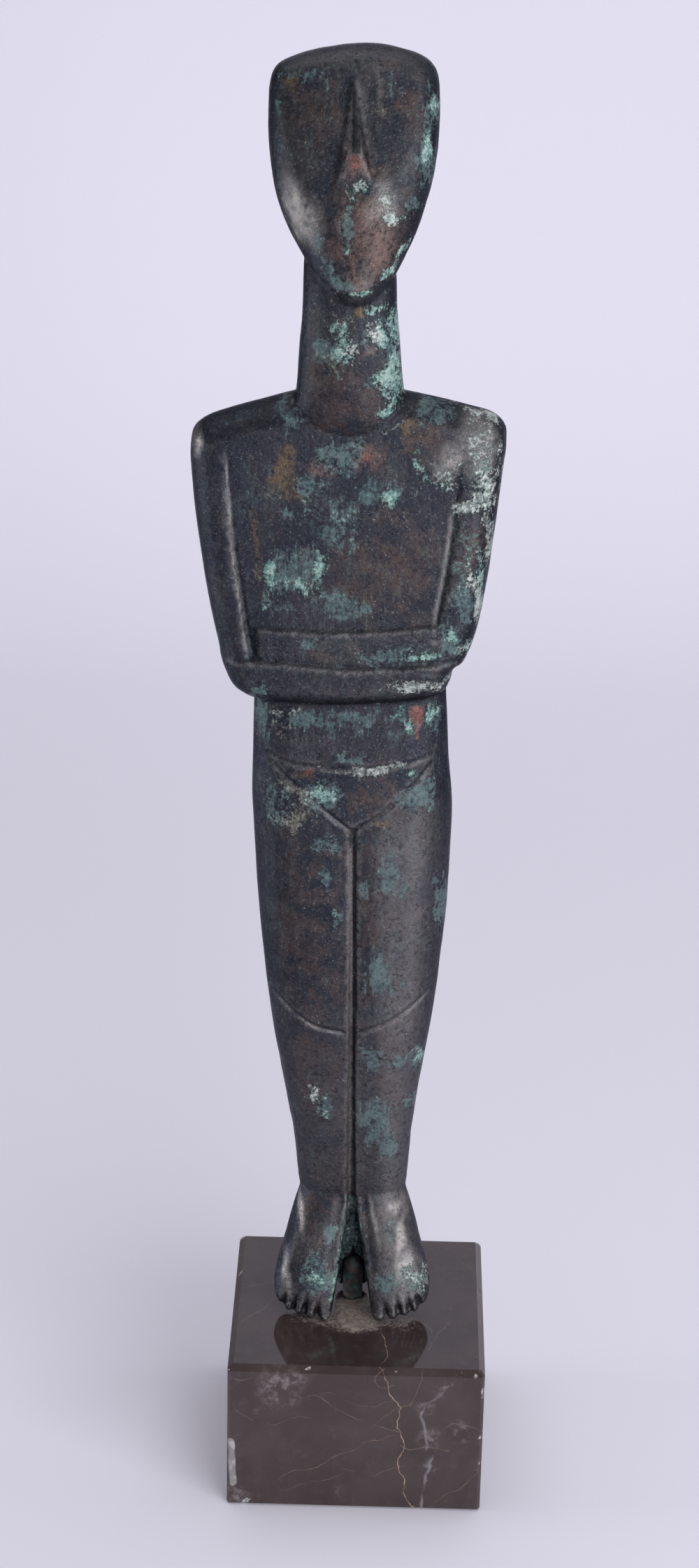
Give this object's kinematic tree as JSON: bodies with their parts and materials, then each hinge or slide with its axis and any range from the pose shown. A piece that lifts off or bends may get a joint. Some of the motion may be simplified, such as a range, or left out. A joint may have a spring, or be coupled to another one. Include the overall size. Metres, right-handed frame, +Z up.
{
  "type": "bronze idol on a marble base",
  "caption": "Slim cast figure with folded arms and a tilted shield-shaped head, pinned upright on a small square marble block.",
  "frame": {"origin": "middle of the marble block's flat underside", "axes": "+Z up along the figure, the figure faces -Y, +X to the viewer's right"},
  "size_m": [0.0709, 0.06, 0.3355],
  "materials": {
    "patinated_bronze": "satin",
    "darkened_steel": "satin",
    "dark_marble": "polished"
  },
  "bodies": {
    "root": {"bronze_idol": "patinated_bronze", "mounting_pin": "darkened_steel", "marble_base": "dark_marble"}
  },
  "joints": []
}
